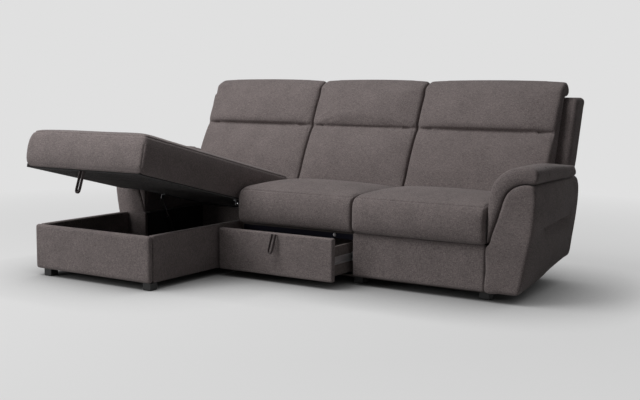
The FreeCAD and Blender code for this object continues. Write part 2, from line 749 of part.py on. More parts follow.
def make_hinges():
    """Two butt hinges: a leaf on the lid, a leaf on the hinge board and a headed pin."""
    span = {"left": ARM_L1 + " + hinge_inset", "right": BOX_R + " - hinge_inset - leaf_w"}
    third = "leaf_w / 3"
    groups = {"hinge_leaves_lid": [], "hinge_leaves_fixed": [], "hinge_pins": []}
    for side, x in span.items():
        moving = new_body("hinge_leaf_lid_" + side)
        add_block(moving, "Additive", "0", "leaf_w", "0 - leaf_t * 2", "0 - leaf_t",
                  "lining_t - lid_drop", "0")
        add_round(moving, "Additive", "X", "knuckle_r", third, third, "0", "0")
        for x0, x1 in (("0 - 1", third + " + panel_gap / 10"),
                       ("leaf_w * 2 / 3 - panel_gap / 10", "leaf_w + 1")):
            add_block(moving, "Subtractive", x0, x1, "0 - knuckle_r - 1", "knuckle_r + 1",
                      "0 - knuckle_r - 1", "knuckle_r + 1")
        add_round(moving, "Subtractive", "X", "hinge_pin_r + fit_gap", "leaf_w", "0", "0", "0")
        tilt_with_lid(moving)
        bind(moving, "Placement.Base.x", x)
        groups["hinge_leaves_lid"].append(moving)

        fixed = new_body("hinge_leaf_fixed_" + side)
        wall = "storage_back_y + return_t - hinge_y"
        add_block(fixed, "Additive", "0", "leaf_w", wall + " - leaf_t", wall, "0 - leaf_w", "leaf_t * 2")
        for x0 in ("0", "leaf_w * 2 / 3"):
            add_round(fixed, "Additive", "X", "knuckle_r", third, x0, "0", "0")
        add_block(fixed, "Subtractive", third, "leaf_w * 2 / 3", "0 - knuckle_r - 1", "knuckle_r + 1",
                  "0 - knuckle_r - 1", "knuckle_r + 1")
        add_round(fixed, "Subtractive", "X", "hinge_pin_r", "leaf_w", "0", "0", "0")
        place(fixed, x, "hinge_y", "hinge_z")
        groups["hinge_leaves_fixed"].append(fixed)

        pin = new_body("hinge_pin_" + side)
        add_round(pin, "Additive", "X", "hinge_pin_r", "leaf_w + 2", "0", "0", "0")
        add_round(pin, "Additive", "X", "pin_head_r", "4", "0 - 4", "0", "0")
        place(pin, x, "hinge_y", "hinge_z")
        groups["hinge_pins"].append(pin)
    for label, group in groups.items():
        share_node(label, group)


def make_struts():
    """Gas struts between the storage walls and the lid board, at rest fully extended."""
    turn = math.radians(s.lid_open)
    head_y = s.strut_head_y * math.cos(turn) + s.strut_head_z * math.sin(turn) + s.hinge_y - s.strut_foot_y
    head_z = s.strut_head_z * math.cos(turn) - s.strut_head_y * math.sin(turn) + s.hinge_z - s.strut_foot_z
    reach = math.hypot(head_y, head_z)
    lean = math.degrees(math.atan2(-head_y, head_z))
    closed = math.hypot(s.strut_head_y + s.hinge_y - s.strut_foot_y, s.strut_head_z + s.hinge_z - s.strut_foot_z)
    stroke = reach - closed
    spots = {"left": (ARM_L1, 1), "right": (BOX_R + " - panel_t", -1)}
    anchors, brackets = [], []
    for name, (wall, side) in spots.items():
        centre = "%s %s strut_inset" % (wall, "+" if side > 0 else "-")

        def across(start, end):
            """A span measured inwards from the wall, in rising order."""
            return (start, end) if side > 0 else ("0 - (%s)" % end, "0 - (%s)" % start)

        cylinder = new_body("strut_cylinder_" + name)
        add_round(cylinder, "Additive", "Z", "strut_r", "strut_body + gland - eye_r / 2", "0", "0", "eye_r / 2")
        add_round(cylinder, "Additive", "X", "eye_r", "eye_t", "0 - eye_t / 2", "0", "0")
        add_round(cylinder, "Subtractive", "X", "stud_r + fit_gap", "eye_t * 4", "0 - eye_t * 2", "0", "0")
        add_round(cylinder, "Subtractive", "Z", "strut_r - strut_wall", "strut_body - eye_r * 2",
                  "0", "0", "eye_r * 2")
        add_round(cylinder, "Subtractive", "Z", "rod_r + fit_gap", "gland * 2", "0", "0", "strut_body - gland / 2")
        cylinder.Placement = FreeCAD.Placement(Vector(), FreeCAD.Rotation(Vector(1, 0, 0), lean))
        place(cylinder, centre, "strut_foot_y", "strut_foot_z")
        keep(cylinder, "strut_cylinder_" + name)

        rod = new_body("strut_rod_" + name)
        foot = s.eye_r * 2 + 4 + stroke
        add_round(rod, "Additive", "Z", "rod_r", str(reach - foot), "0", "0", str(foot))
        add_round(rod, "Additive", "Z", "strut_r - strut_wall - fit_gap", "eye_r", "0", "0", str(foot))
        add_round(rod, "Additive", "X", "eye_r", "eye_t", "0 - eye_t / 2", "0", str(reach))
        add_round(rod, "Subtractive", "X", "stud_r + eye_slack", "eye_t * 4", "0 - eye_t * 2", "0", str(reach))
        rod.Placement = FreeCAD.Placement(Vector(), FreeCAD.Rotation(Vector(1, 0, 0), lean))
        place(rod, centre, "strut_foot_y", "strut_foot_z")
        keep(rod, "strut_rod_" + name)

        anchor = new_body("strut_anchor_" + name)
        x0, x1 = across("0", "bracket_t")
        add_block(anchor, "Additive", x0, x1, "0 - eye_r * 2", "eye_r * 2", "0 - eye_r - 4", "eye_r * 2")
        x0, x1 = across("0", "strut_inset + eye_t / 2 + 3")
        add_round(anchor, "Additive", "X", "stud_r", "(%s) - (%s)" % (x1, x0), x0, "0", "0")
        place(anchor, wall, "strut_foot_y", "strut_foot_z")
        anchors.append(anchor)

        bracket = new_body("strut_bracket_" + name)
        x0, x1 = across("strut_inset + eye_t / 2 + 4", "strut_inset + eye_t / 2 + 4 + bracket_t")
        top = "0 - lid_drop"
        add_block(bracket, "Additive", x0, x1, "strut_head_y - eye_r * 1.5", "strut_head_y + eye_r * 1.5",
                  "strut_head_z - eye_r", top)
        x0, x1 = across("strut_inset + eye_t / 2 + 4", "strut_inset + eye_t / 2 + 26")
        add_block(bracket, "Additive", x0, x1, "strut_head_y - eye_r * 1.5", "strut_head_y + eye_r * 1.5",
                  top + " - bracket_t", top)
        x0, x1 = across("strut_inset - eye_t / 2 - 3", "strut_inset + eye_t / 2 + 5")
        add_round(bracket, "Additive", "X", "stud_r", "(%s) - (%s)" % (x1, x0), x0, "strut_head_y", "strut_head_z")
        tilt_with_lid(bracket)
        bind(bracket, "Placement.Base.x", wall)
        brackets.append(bracket)
    share_node("strut_anchors", anchors)
    share_node("strut_brackets", brackets)
    print("strut reach %.3f closed %.3f stroke %.3f lean %.4f" % (reach, closed, stroke, lean))


# Drawer

def make_drawer():
    """The pull-out drawer under the middle seat, with its two runners."""
    out = "0 - drawer_out"
    left = BOX_R + " + drawer_left_gap"
    right = "%s - drawer_right_gap" % X_C
    side_l = BAY_L + " + runner_t"
    side_r = BAY_R + " - runner_t"
    back = out + " + panel_t + drawer_depth"
    padded_panel("drawer_front", left, right, out, out + " + panel_t", "drawer_low_z", "drawer_top_z")
    board("drawer_side_left", side_l, side_l + " + drawer_board_t", out + " + panel_t", back,
          "drawer_box_low", "drawer_box_top")
    board("drawer_side_right", side_r + " - drawer_board_t", side_r, out + " + panel_t", back,
          "drawer_box_low", "drawer_box_top")
    inner_l, inner_r = side_l + " + drawer_board_t", side_r + " - drawer_board_t"
    board("drawer_back", inner_l, inner_r, back + " - drawer_board_t", back, "drawer_box_low", "drawer_box_top")
    board("drawer_bottom", inner_l, inner_r, out + " + panel_t", back + " - drawer_board_t",
          "drawer_box_low", "drawer_box_low + drawer_board_t")
    for name, wall, side in (("left", BAY_L, 1), ("right", BAY_R, -1)):
        def across(start, end):
            return (start, end) if side > 0 else ("0 - (%s)" % end, "0 - (%s)" % start)

        fixed = new_body("runner_fixed_" + name)
        x0, x1 = across("0", "runner_t - runner_sheet * 2 - runner_play")
        add_block(fixed, "Additive", x0, x1, "0", "runner_len", "0", "runner_rise")
        x0, x1 = across("runner_sheet", "runner_t")
        add_block(fixed, "Subtractive", x0, x1, "0 - 1", "runner_len + 1", "runner_sheet",
                  "runner_rise - runner_sheet")
        place(fixed, wall, "board_setback", "runner_low")
        keep(fixed, "runner_fixed_" + name)

        slider = new_body("runner_slider_" + name)
        low, high = "runner_sheet + runner_play", "runner_rise - runner_sheet - runner_play"
        x0, x1 = across("runner_t - runner_sheet", "runner_t")
        add_block(slider, "Additive", x0, x1, "0", "runner_len", low + " + 4", high + " - 4")
        x0, x1 = across("runner_sheet + runner_play", "runner_t - runner_sheet")
        for z0, z1 in ((low + " + 4", low + " + 4 + runner_sheet"), (high + " - 4 - runner_sheet", high + " - 4")):
            add_block(slider, "Additive", x0, x1, "0", "runner_len", z0, z1)
        x0, x1 = across("runner_sheet + runner_play", "runner_sheet * 2 + runner_play")
        for z0, z1 in ((low, low + " + 4 + runner_sheet"), (high + " - 4 - runner_sheet", high)):
            add_block(slider, "Additive", x0, x1, "0", "runner_len", z0, z1)
        place(slider, wall, out + " + panel_t", "runner_low")
        keep(slider, "runner_slider_" + name)


make_storage_box()
make_base()
make_feet()
make_seats()
make_backs()
make_shells()
make_arms()
make_lid()
make_loops()
make_hinges()
make_struts()
make_drawer()

doc.recompute()

for obj in doc.Objects:
    if "Invalid" in obj.State or "Error" in obj.State:
        raise RuntimeError("failed object: %s (%s)" % (obj.Label, obj.Name))
for obj in nodes:
    if obj.Shape.isNull() or not obj.Shape.isValid():
        raise RuntimeError("bad shape: " + obj.Label)

os.makedirs("parts", exist_ok=True)
for obj in nodes:
    obj.Shape.exportStep("parts/%s.step" % obj.Label)
box = FreeCAD.BoundBox()
for obj in nodes:
    box.add(obj.Shape.BoundBox)
print(len(nodes), "nodes; box", box)
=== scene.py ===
import json
import math

import bmesh
import bpy
import numpy as np
from mathutils import Matrix, Vector


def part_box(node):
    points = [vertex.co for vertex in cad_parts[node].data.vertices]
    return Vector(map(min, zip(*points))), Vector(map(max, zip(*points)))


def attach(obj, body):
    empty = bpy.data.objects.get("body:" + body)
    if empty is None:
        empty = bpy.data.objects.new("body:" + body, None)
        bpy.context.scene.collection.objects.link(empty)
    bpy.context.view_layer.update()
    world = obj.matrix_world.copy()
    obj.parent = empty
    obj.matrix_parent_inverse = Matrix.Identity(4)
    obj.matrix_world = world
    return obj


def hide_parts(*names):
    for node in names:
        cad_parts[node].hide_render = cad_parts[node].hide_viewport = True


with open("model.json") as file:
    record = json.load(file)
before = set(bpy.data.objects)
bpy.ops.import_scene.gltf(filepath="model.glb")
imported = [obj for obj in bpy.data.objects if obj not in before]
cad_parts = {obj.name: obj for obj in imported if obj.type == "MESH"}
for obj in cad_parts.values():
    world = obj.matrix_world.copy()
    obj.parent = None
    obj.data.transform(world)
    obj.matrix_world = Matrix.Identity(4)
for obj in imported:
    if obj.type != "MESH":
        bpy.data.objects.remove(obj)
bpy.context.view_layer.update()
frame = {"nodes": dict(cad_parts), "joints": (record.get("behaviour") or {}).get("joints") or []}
scene = bpy.context.scene
nodes = frame["nodes"]

# Places that the frame gives, in metres

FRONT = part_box("right_front_panel")[0].y
X_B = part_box("back_shell_mid")[0].x
X_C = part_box("back_shell_mid")[1].x
X_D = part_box("seat_cushion_right")[1].x + 0.002
X_A = -X_D
LOW_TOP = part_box("right_front_panel")[1].z
HINGE = Vector(next(j for j in frame["joints"] if j["name"] == "lid_hinge")["pos_m"])
LID_OPEN = math.radians(-next(j for j in frame["joints"] if j["name"] == "lid_hinge")["range_deg"][0])


# Camera at the photograph's viewing angle

def make_camera():
    yaw, pitch, roll = (math.radians(a) for a in (32.62, 6.49, 0.40))
    forward = Vector((-math.sin(yaw) * math.cos(pitch), math.cos(yaw) * math.cos(pitch), -math.sin(pitch)))
    right = Vector((math.cos(yaw), math.sin(yaw), 0))
    up = right.cross(forward)
    side = right * math.cos(roll) + up * math.sin(roll)
    top = up * math.cos(roll) - right * math.sin(roll)
    data = bpy.data.cameras.new("Camera")
    focal_pixels, photo_pixels, sensor = 1023, 640, 36
    data.lens = focal_pixels / photo_pixels * sensor
    data.sensor_width = sensor
    data.clip_end = 60
    camera = bpy.data.objects.new("Camera", data)
    camera.matrix_world = Matrix((
        (side.x, top.x, -forward.x, 2.993),
        (side.y, top.y, -forward.y, FRONT - 4.454),
        (side.z, top.z, -forward.z, 1.031),
        (0, 0, 0, 1)))
    scene.collection.objects.link(camera)
    scene.camera = camera
    scene.view_settings.view_transform = "Standard"


# Materials

class Nodes:
    """A small builder for a material's nodes."""

    def __init__(self, name):
        self.material = bpy.data.materials.new(name)
        self.material.use_nodes = True
        self.tree = self.material.node_tree
        self.shader = self.tree.nodes["Principled BSDF"]

    def add(self, kind, **values):
        node = self.tree.nodes.new(kind)
        for key, value in values.items():
            if key in node.inputs:
                node.inputs[key].default_value = value
            else:
                setattr(node, key, value)
        return node

    def link(self, source, output, target, entry):
        self.tree.links.new(source.outputs[output], target.inputs[entry])

    def coords(self, scale):
        place = self.add("ShaderNodeTexCoord")
        mapping = self.add("ShaderNodeMapping")
        mapping.inputs["Scale"].default_value = scale
        self.link(place, "Object", mapping, "Vector")
        return mapping

    def noise(self, scale, detail=2.0, rough=0.5):
        mapping = self.coords(scale)
        texture = self.add("ShaderNodeTexNoise")
        texture.inputs["Scale"].default_value = 1.0
        texture.inputs["Detail"].default_value = detail
        texture.inputs["Roughness"].default_value = rough
        self.link(mapping, "Vector", texture, "Vector")
        return texture

    def math(self, operation, a, b, clamp=False):
        node = self.add("ShaderNodeMath", operation=operation, use_clamp=clamp)
        for entry, value in enumerate((a, b)):
            if isinstance(value, (int, float)):
                node.inputs[entry].default_value = value
            else:
                self.tree.links.new(value, node.inputs[entry])
        return node.outputs[0]

    def ramp(self, factor, low, high, start=0.3, end=0.7):
        node = self.add("ShaderNodeValToRGB")
        node.color_ramp.elements[0].position = start
        node.color_ramp.elements[1].position = end
        node.color_ramp.elements[0].color = (*low, 1)
        node.color_ramp.elements[1].color = (*high, 1)
        self.tree.links.new(factor, node.inputs["Fac"])
        return node.outputs["Color"]

    def bump(self, height, strength, distance):
        node = self.add("ShaderNodeBump", Strength=strength, Distance=distance)
        self.tree.links.new(height, node.inputs["Height"])
        self.tree.links.new(node.outputs["Normal"], self.shader.inputs["Normal"])


def rgb(r, g, b):
    """Linear values of an sRGB colour of 0 to 255."""
    out = []
    for c in (r, g, b):
        c /= 255
        out.append(c / 12.92 if c <= 0.04045 else ((c + 0.055) / 1.055) ** 2.4)
    return tuple(out)


def woven(name, dark, light, pitch=0.0021, slub=0.5, rough=0.92):
    """A plain-woven cloth: two sets of threads, slubs along them and a mottled dye."""
    n = Nodes(name)
    along_x = n.noise((60, 400, 640), 3.0, 0.6)
    along_z = n.noise((640, 360, 60), 3.0, 0.6)
    threads = n.math("ADD", along_x.outputs["Fac"], along_z.outputs["Fac"])
    threads = n.math("MULTIPLY", threads, 0.5)
    fleck = n.noise((340, 340, 340), 2.0, 0.7)
    mottle = n.noise((9, 9, 9), 3.0, 0.5)
    mix = n.math("MULTIPLY", threads, slub)
    mix = n.math("ADD", mix, n.math("MULTIPLY", fleck.outputs["Fac"], 0.93 - slub))
    mix = n.math("ADD", mix, n.math("MULTIPLY", mottle.outputs["Fac"], 0.07))
    color = n.ramp(mix, dark, light, 0.40, 0.60)
    n.tree.links.new(color, n.shader.inputs["Base Color"])
    n.shader.inputs["Roughness"].default_value = rough
    n.shader.inputs["Specular IOR Level"].default_value = 0.25
    n.shader.inputs["Sheen Weight"].default_value = 0.12
    n.shader.inputs["Sheen Roughness"].default_value = 0.5
    mapping = n.coords((1, 1, 1))
    waves = []
    for axis in ("X", "Y", "Z"):
        wave = n.add("ShaderNodeTexWave", bands_direction=axis)
        wave.inputs["Scale"].default_value = 0.314 / pitch
        wave.inputs["Distortion"].default_value = 1.2
        wave.inputs["Detail Scale"].default_value = 2.0
        n.link(mapping, "Vector", wave, "Vector")
        waves.append(wave.outputs["Fac"])
    weave = n.math("ADD", n.math("ADD", waves[0], waves[1]), waves[2])
    height = n.math("ADD", n.math("MULTIPLY", weave, 0.22), n.math("MULTIPLY", mix, 0.9))
    n.bump(height, 0.35, 0.0012)
    return n.material


def metal(name, color, rough):
    n = Nodes(name)
    brushed = n.noise((900, 40, 900), 3.0, 0.6)
    n.tree.links.new(n.ramp(brushed.outputs["Fac"], tuple(c * 0.82 for c in color), color),
                     n.shader.inputs["Base Color"])
    n.shader.inputs["Metallic"].default_value = 1.0
    n.shader.inputs["Roughness"].default_value = rough
    n.bump(brushed.outputs["Fac"], 0.12, 0.0003)
    return n.material


def painted(name, color, rough):
    n = Nodes(name)
    peel = n.noise((350, 350, 350), 2.0, 0.5)
    dust = n.noise((14, 14, 14), 4.0, 0.6)
    n.tree.links.new(n.ramp(dust.outputs["Fac"], color, tuple(c * 1.35 + 0.003 for c in color)),
                     n.shader.inputs["Base Color"])
    n.shader.inputs["Roughness"].default_value = rough
    n.bump(peel.outputs["Fac"], 0.15, 0.0004)
    return n.material


def wooden(name, dark, light):
    n = Nodes(name)
    grain = n.noise((6, 70, 70), 5.0, 0.6)
    n.tree.links.new(n.ramp(grain.outputs["Fac"], dark, light, 0.35, 0.65), n.shader.inputs["Base Color"])
    n.shader.inputs["Roughness"].default_value = 0.7
    n.bump(grain.outputs["Fac"], 0.2, 0.0005)
    return n.material


FABRIC = woven("fabric_warm_grey", rgb(84, 76, 76), rgb(154, 143, 141))
# Black cloth: the lid's own lining, and painted shade where it covers the boards round the storage space
BLACK_LINING_AND_SHADE = woven("lining_black", rgb(22, 20, 20), rgb(34, 31, 31), 0.0012, 0.3)
WEBBING = woven("webbing_dark", rgb(52, 46, 46), rgb(118, 108, 108), 0.0016, 0.6, 0.5)
NAVY = woven("apron_navy", rgb(16, 16, 28), rgb(26, 26, 42), 0.0012, 0.3)
STEEL = metal("steel_zinc", (0.62, 0.62, 0.63), 0.35)
# Hinge and strut fittings: steel darkened as painted shade, so that they stay dark in the shaded storage
# space
FITTING_SHADE_DARK = metal("steel_fittings", (0.20, 0.20, 0.21), 0.5)
CHROME = metal("rod_chrome", (0.78, 0.78, 0.79), 0.12)
BLACK = painted("strut_black", rgb(22, 22, 22), 0.4)
FOOT = painted("foot_black", rgb(20, 20, 20), 0.55)
PLUG = painted("plug_pale", rgb(222, 220, 222), 0.4)
BOARD = wooden("board_dark", rgb(58, 52, 49), rgb(76, 68, 64))
DRAWER_BOARD = wooden("drawer_board", rgb(92, 84, 81), rgb(112, 103, 100))


def paint(obj, material):
    obj.data.materials.clear()
    obj.data.materials.append(material)
    return obj


# The lid's black lining, and boards round the storage space that get the same black cloth as painted shade,
# since that space lies in deep shade
LINED_AND_SHADE_PAINTED = ("lid_lining", "storage_floor", "arm_board_left", "hinge_board", "lid_board", "lid_rear_rail")


def dress_frame():
    """Better materials for the CAD nodes that stay in view."""
    for name, node in nodes.items():
        if name.startswith("runner"):
            paint(node, STEEL)
        # These fittings get the steel darkened as painted shade
        elif name.startswith(("hinge_leaves", "hinge_pins", "strut_anchors", "strut_brackets")):
            paint(node, FITTING_SHADE_DARK)
        elif name.startswith("strut_cylinder"):
            paint(node, BLACK)
        elif name.startswith("strut_rod"):
            paint(node, CHROME)
        elif name == "feet":
            paint(node, FOOT)
        # Black cloth: real lining on the lid, painted shade on the boards round the storage space
        elif name in LINED_AND_SHADE_PAINTED:
            paint(node, BLACK_LINING_AND_SHADE)
        elif name == "drawer_apron":
            paint(node, NAVY)
        elif name.startswith("drawer_"):
            paint(node, DRAWER_BOARD)
        else:
            paint(node, BOARD)


# Mesh helpers

def new_mesh(name, verts, faces):
    mesh = bpy.data.meshes.new(name)
    mesh.from_pydata([tuple(v) for v in verts], [], [tuple(f) for f in faces])
    mesh.validate()
    obj = bpy.data.objects.new(name, mesh)
    scene.collection.objects.link(obj)
    return obj


def bake(obj):
    """Apply the object's modifiers to its mesh."""
    depsgraph = bpy.context.evaluated_depsgraph_get()
    mesh = bpy.data.meshes.new_from_object(obj.evaluated_get(depsgraph))
    obj.modifiers.clear()
    obj.data = mesh
    return obj


def get_co(obj):
    co = np.empty(len(obj.data.vertices) * 3)
    obj.data.vertices.foreach_get("co", co)
    return co.reshape(-1, 3)


def set_co(obj, co):
    obj.data.vertices.foreach_set("co", co.ravel())
    obj.data.update()


def get_normals(obj):
    out = np.empty(len(obj.data.vertices) * 3)
    obj.data.vertex_normals.foreach_get("vector", out)
    return out.reshape(-1, 3)


def smooth(obj):
    obj.data.polygons.foreach_set("use_smooth", [True] * len(obj.data.polygons))
    return obj


def loft(name, rings):
    """A closed solid through rings of the same number of points, with flat ends."""
    count = len(rings[0])
    verts = [p for ring in rings for p in ring]
    faces = []
    for i in range(len(rings) - 1):
        for j in range(count):
            k = (j + 1) % count
            faces.append((i * count + j, i * count + k, (i + 1) * count + k, (i + 1) * count + j))
    faces.append(tuple(reversed(range(count))))
    last = (len(rings) - 1) * count
    faces.append(tuple(range(last, last + count)))
    obj = new_mesh(name, verts, faces)
    fix_normals(obj)
    return obj


def fix_normals(obj):
    bm = bmesh.new()
    bm.from_mesh(obj.data)
    bmesh.ops.recalc_face_normals(bm, faces=bm.faces)
    bm.to_mesh(obj.data)
    bm.free()


def curve_through(points, count, closed=True):
    """Evenly spaced points on a smooth curve through the given ones."""
    pts = np.array(points, float)
    n = len(pts)
    dense = []
    for i in range(n if closed else n - 1):
        p0, p1, p2, p3 = (pts[(i + k) % n] if closed else pts[min(max(i + k, 0), n - 1)]
                          for k in (-1, 0, 1, 2))
        d1 = max(np.linalg.norm(p1 - p0), 1e-6) ** 0.5
        d2 = max(np.linalg.norm(p2 - p1), 1e-6) ** 0.5
        d3 = max(np.linalg.norm(p3 - p2), 1e-6) ** 0.5
        if not closed and i == 0:
            p0, d1 = 2 * p1 - p2, d2
        if not closed and i == n - 2:
            p3, d3 = 2 * p2 - p1, d2
        t0, t1, t2, t3 = 0, d1, d1 + d2, d1 + d2 + d3
        for t in np.linspace(t1, t2, 16, endpoint=False):
            a1 = (t1 - t) / (t1 - t0) * p0 + (t - t0) / (t1 - t0) * p1
            a2 = (t2 - t) / (t2 - t1) * p1 + (t - t1) / (t2 - t1) * p2
            a3 = (t3 - t) / (t3 - t2) * p2 + (t - t2) / (t3 - t2) * p3
            b1 = (t2 - t) / (t2 - t0) * a1 + (t - t0) / (t2 - t0) * a2
            b2 = (t3 - t) / (t3 - t1) * a2 + (t - t1) / (t3 - t1) * a3
            dense.append((t2 - t) / (t2 - t1) * b1 + (t - t1) / (t2 - t1) * b2)
    dense.append(dense[0] if closed else pts[-1])
    dense = np.array(dense)
    step = np.r_[0, np.cumsum(np.linalg.norm(np.diff(dense, axis=0), axis=1))]
    where = np.linspace(0, step[-1], count, endpoint=not closed)
    return np.stack([np.interp(where, step, dense[:, k]) for k in range(dense.shape[1])], axis=1)


def shrink(ring, inset):
    """Move a closed 2D ring inwards by inset."""
    before, after = np.roll(ring, 1, axis=0), np.roll(ring, -1, axis=0)
    tangent = after - before
    tangent /= np.maximum(np.linalg.norm(tangent, axis=1, keepdims=True), 1e-9)
    normal = np.stack([-tangent[:, 1], tangent[:, 0]], axis=1)
    area = np.sum(ring[:, 0] * after[:, 1] - after[:, 0] * ring[:, 1])
    moved = ring + normal * inset * (1 if area > 0 else -1)
    if inset <= 0:
        return moved
    gap = np.min(np.linalg.norm(moved[:, None] - ring[None], axis=2), axis=1)
    good = np.nonzero(gap > inset * 0.97)[0]
    count = len(ring)
    spots = np.r_[good - count, good, good + count]
    where = np.arange(count)
    return np.stack([np.interp(where, spots, np.tile(moved[good, k], 3)) for k in (0, 1)], axis=1)


def end_inset(distance, radius):
    """How far a rounded end draws in at a distance from the end plane."""
    if distance >= radius:
        return 0.0
    return radius - math.sqrt(max(radius ** 2 - (radius - distance) ** 2, 0))


def stations(low, high, radius, step=0.02):
    near = [radius * (1 - math.cos(a)) for a in np.linspace(0, math.pi / 2, 7)]
    middle = np.linspace(low + radius, high - radius, max(int((high - low) / step), 4))
    return [low + d for d in near[:-1]] + list(middle) + [high - d for d in reversed(near[:-1])]


def along_x(name, x0, x1, profile, radius, count=150):
    """A solid of YZ sections along X, with rounded ends. profile(x) gives control points."""
    rings = []
    for x in stations(x0, x1, radius):
        ring = curve_through(profile(x), count)
        ring = shrink(ring, end_inset(min(x - x0, x1 - x), radius))
        rings.append([(x, FRONT + y, z) for y, z in ring])
    return loft(name, rings)


# Padding: even mesh, a short cloth simulation, then seams

def remesh(obj, voxel):
    modifier = obj.modifiers.new("Even", "REMESH")
    modifier.mode = "VOXEL"
    modifier.voxel_size = voxel
    return bake(obj)


def distance_to(co, path):
    """Distance of each point to a polyline, and how far along it the nearest point is."""
    best = np.full(len(co), 1e9)
    where = np.zeros(len(co))
    walked = 0.0
    for a, b in zip(path[:-1], path[1:]):
        a, b = np.array(a, float), np.array(b, float)
        ab = b - a
        length = np.linalg.norm(ab)
        if length < 1e-9:
            continue
        t = np.clip((co - a) @ ab / length ** 2, 0, 1)
        d = np.linalg.norm(co - (a + t[:, None] * ab), axis=1)
        closer = d < best
        best[closer] = d[closer]
        where[closer] = walked + t[closer] * length
        walked += length
    return best, where, walked


def puff(obj, pressure, cap, held, frames=9):
    """Blow the cover up by a short cloth simulation. held(co) gives each vertex's hold, 0 free to 1 fixed."""
    stiff = 12.0
    start = get_co(obj)
    hold = np.clip(held(start), 0, 1)
    group = obj.vertex_groups.new(name="held")
    for level in np.unique(np.round(hold, 1)):
        if level > 0:
            group.add(np.nonzero(np.round(hold, 1) == level)[0].tolist(), float(level), "REPLACE")
    modifier = obj.modifiers.new("Cloth", "CLOTH")
    modifier.settings.quality = 3
    modifier.settings.mass = 0.25
    modifier.settings.tension_stiffness = stiff
    modifier.settings.compression_stiffness = stiff
    modifier.settings.shear_stiffness = stiff * 0.5
    modifier.settings.bending_stiffness = 0.6
    modifier.settings.use_pressure = True
    modifier.settings.uniform_pressure_force = pressure
    modifier.settings.effector_weights.gravity = 0
    modifier.settings.vertex_group_mass = "held"
    modifier.collision_settings.use_collision = False
    modifier.point_cache.frame_start = 1
    modifier.point_cache.frame_end = frames
    for number in range(1, frames + 1):
        scene.frame_set(number)
    moved = obj.evaluated_get(bpy.context.evaluated_depsgraph_get())
    end = np.empty(len(moved.data.vertices) * 3)
    moved.data.vertices.foreach_get("co", end)
    move = end.reshape(-1, 3) - start
    size = np.linalg.norm(move, axis=1, keepdims=True)
    soft = cap * np.tanh(size / cap) / np.maximum(size, 1e-9)
    obj.modifiers.clear()
    obj.vertex_groups.clear()
    scene.frame_set(1)
    set_co(obj, start + move * soft * (1 - hold[:, None]))
    return obj


def refine(obj):
    modifier = obj.modifiers.new("Fine", "SUBSURF")
    modifier.levels = 1
    modifier.render_levels = 1
    return bake(obj)


def sew(obj, path, depth, radius, fade=0.0, pucker=0.0):
    """Draw a seam into the cover along a polyline."""
    co = get_co(obj)
    d, where, length = distance_to(co, path)
    pull = depth * np.exp(-(d / radius) ** 2)
    if fade:
        pull *= np.clip(np.minimum(where, length - where) / fade, 0, 1)
    if pucker:
        pull += pucker * np.exp(-(d / (radius * 4)) ** 2) * (0.5 + 0.5 * np.sin(where * 2 * math.pi / 0.031))
    set_co(obj, co - get_normals(obj) * pull[:, None])
    return obj


def finish_soft(obj, body, replaced):
    smooth(obj)
    paint(obj, FABRIC)
    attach(obj, body)
    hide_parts(*replaced)
    return obj


def arm_face(z):
    """How far outside the seat's side the arm pad's inner face lies at a height."""
    heights = [0.276, 0.392, 0.47, 0.52, 0.565, 0.60, 0.628, 0.645]
    outside = [0.0, 0.0, 0.004, 0.012, 0.028, 0.055, 0.09, 0.15]
    return np.interp(z, heights, outside)


# Seat cushions

def full_at(x, x0, x1, reach=0.5):
    """0 at the side seams, 1 in the middle, flat over most of the width."""
    power = 2.6
    d = min(max(min(x - x0, x1 - x) / (x1 - x0), 0) / reach, 1)
    return 1 - (1 - d) ** power


def seat(name, x0, x1, radius):
    low = LOW_TOP + 0.001
    rear = 0.519

    def profile(x):
        f = full_at(x, x0, x1)
        nose = -0.030 + 0.004 * (1 - f)
        return [
            (nose + 0.020, low), (nose + 0.004, low + 0.016), (nose - 0.001, low + 0.06), (nose, low + 0.12),
            (nose + 0.001, 0.412), (nose + 0.009, 0.438), (nose + 0.026, 0.457),
            (nose + 0.060, 0.467 + 0.004 * f), (0.12, 0.472 + 0.020 * f), (0.28, 0.475 + 0.023 * f),
            (0.42, 0.472 + 0.016 * f), (rear - 0.025, 0.466 + 0.004 * f), (rear - 0.004, 0.445),
            (rear, 0.40), (rear, low + 0.02), (rear - 0.012, low), (0.30, low), (0.12, low),
        ]

    obj = along_x(name, x0, x1, profile, radius)
    remesh(obj, 0.009)
    seam_z, seam_y = 0.4575, FRONT - 0.0035
    seam = [(x, seam_y + 0.004 * (1 - full_at(x, x0, x1)), seam_z)
            for x in np.linspace(x0 + 0.004, x1 - 0.004, 40)]
    sides = [[(x, seam_y + 0.004, seam_z), (x, FRONT + 0.10, 0.474),
              (x, FRONT + 0.3, 0.480), (x, FRONT + rear, 0.468)]
             for x in (x0 + 0.008, x1 - 0.008)]

    def held(co):
        near_seam = np.exp(-(distance_to(co, seam)[0] / 0.012) ** 2)
        side = np.clip((0.012 - np.minimum(co[:, 0] - x0, x1 - co[:, 0])) / 0.008, 0, 1)
        under = (co[:, 2] < low + 0.012).astype(float)
        back = np.clip((co[:, 1] - FRONT - rear + 0.03) / 0.02, 0, 1)
        return np.maximum.reduce([near_seam, side, under, back])

    puff(obj, 5.0, 0.014, held)
    refine(obj)
    sew(obj, seam, 0.0065, 0.0042, pucker=0.0005)
    for side in sides:
        sew(obj, side, 0.0035, 0.0042)
    co = get_co(obj)
    co[:, 0] = np.clip(co[:, 0], x0, x1)
    co[:, 2] = np.maximum(co[:, 2], low)
    set_co(obj, co)
    return finish_soft(obj, "frame", [name])


# Back cushions

RAKE = 0.482
GROOVE_Z = 0.785
TOP_Z = 1.044


def back_face(z):
    return 0.541 + (z - 0.471) * RAKE


